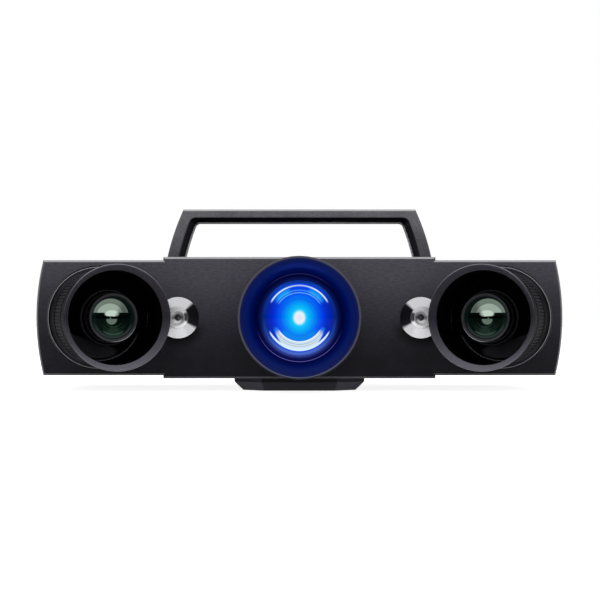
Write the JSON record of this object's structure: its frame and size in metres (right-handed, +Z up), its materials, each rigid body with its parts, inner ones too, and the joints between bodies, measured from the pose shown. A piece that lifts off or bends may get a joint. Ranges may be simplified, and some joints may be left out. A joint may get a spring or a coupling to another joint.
{
  "type": "desktop 3d scanner",
  "caption": "Wide black stereo scanner head: stepped bar body, toed-in camera hoods, blue projector in the middle, laser bezels, strap handle and tripod plate.",
  "frame": {"origin": "mouth of the tripod thread, in the middle of the underside of the tripod plate", "axes": "+X along the bar to the right as seen from the front, the front faces -Y, +Z up"},
  "size_m": [0.37, 0.1733, 0.13],
  "materials": {
    "panel_black": "satin black with a fine grain",
    "housing_black": "satin black",
    "grained_black": "powder-coated black",
    "hood_black": "black anodised",
    "lens_black": "matt black anodised",
    "coated_glass": "green-coated",
    "lit_glass": "lit blue from behind",
    "clear_glass": "clear",
    "polished_steel": "polished",
    "screw_steel": "black oxide",
    "bare_aluminium": "machined",
    "brass": "turned",
    "black_plastic": "moulded",
    "button_plastic": "moulded",
    "guard_steel": "black",
    "board_green": "solder mask",
    "led_ceramic": "ceramic"
  },
  "bodies": {
    "scanner": {"bench_screws": "screw_steel", "board_standoffs": "brass", "camera_body_left": "bare_aluminium", "camera_body_right": "bare_aluminium", "camera_bracket_left": "bare_aluminium", "camera_bracket_right": "bare_aluminium", "camera_hood_left": "hood_black", "camera_hood_right": "hood_black", "camera_turret_left": "hood_black", "camera_turret_right": "hood_black", "centre_housing": "housing_black", "controller_board": "board_green", "data_port": "black_plastic", "end_cover_left": "housing_black", "end_cover_right": "housing_black", "fan_frame": "black_plastic", "fan_guard": "guard_steel", "fan_screws": "screw_steel", "front_panel": "panel_black", "handle": "grained_black", "handle_screws": "screw_steel", "heat_sink": "bare_aluminium", "laser_bezel_left": "polished_steel", "laser_bezel_right": "polished_steel", "laser_module_left": "brass", "laser_module_right": "brass", "laser_window_left": "coated_glass", "laser_window_right": "coated_glass", "led_board": "led_ceramic", "lens_barrel_left": "lens_black", "lens_barrel_right": "lens_black", "lens_front_ring_left": "lens_black", "lens_front_ring_right": "lens_black", "lens_glass_left": "coated_glass", "lens_glass_right": "coated_glass", "light_engine": "bare_aluminium", "optical_bench": "bare_aluminium", "panel_screws": "screw_steel", "power_inlet": "black_plastic", "projector_front_lens": "lit_glass", "projector_hood": "hood_black", "projector_lens_barrel": "lens_black", "projector_pedestal": "bare_aluminium", "projector_rear_lens": "clear_glass", "projector_retainer": "lens_black", "rear_cover": "housing_black", "rear_cover_screws": "screw_steel", "side_screws": "screw_steel", "switch_body": "black_plastic", "sync_port": "black_plastic", "tripod_insert": "polished_steel", "tripod_plate": "grained_black", "tripod_plate_screws": "screw_steel"},
    "iris_ring_left_body": {"iris_ring_left": "lens_black"},
    "focus_ring_left_body": {"focus_ring_left": "lens_black"},
    "iris_ring_right_body": {"iris_ring_right": "lens_black"},
    "focus_ring_right_body": {"focus_ring_right": "lens_black"},
    "projector_focus_ring_body": {"projector_focus_ring": "lens_black"},
    "fan_rotor_body": {"fan_rotor": "black_plastic"},
    "power_button_body": {"power_button": "button_plastic"}
  },
  "joints": [
    {"name": "iris_ring_left_turn", "type": "hinge", "parent": "scanner", "child": "iris_ring_left_body", "pos_m": [-0.13562, -0.054, 0.052], "axis": [0.3584, -0.9336, 0], "range_deg": [0, 75]},
    {"name": "focus_ring_left_turn", "type": "hinge", "parent": "scanner", "child": "focus_ring_left_body", "pos_m": [-0.13562, -0.054, 0.052], "axis": [0.3584, -0.9336, 0], "range_deg": [-90, 90]},
    {"name": "iris_ring_right_turn", "type": "hinge", "parent": "scanner", "child": "iris_ring_right_body", "pos_m": [0.13562, -0.054, 0.052], "axis": [-0.3584, -0.9336, 0], "range_deg": [0, 75]},
    {"name": "focus_ring_right_turn", "type": "hinge", "parent": "scanner", "child": "focus_ring_right_body", "pos_m": [0.13562, -0.054, 0.052], "axis": [-0.3584, -0.9336, 0], "range_deg": [-90, 90]},
    {"name": "projector_focus_turn", "type": "hinge", "parent": "scanner", "child": "projector_focus_ring_body", "pos_m": [0, -0.023, 0.052], "axis": [0, -1, 0], "range_deg": [-45, 45]},
    {"name": "fan_spin", "type": "hinge", "parent": "scanner", "child": "fan_rotor_body", "pos_m": [0, 0.048, 0.052], "axis": [0, 1, 0], "continuous": true},
    {"name": "power_button_press", "type": "slide", "parent": "scanner", "child": "power_button_body", "axis": [0, -1, 0], "range_m": [0, 0.002], "stiffness_N_per_m": 800, "springref_m": -0.001}
  ]
}
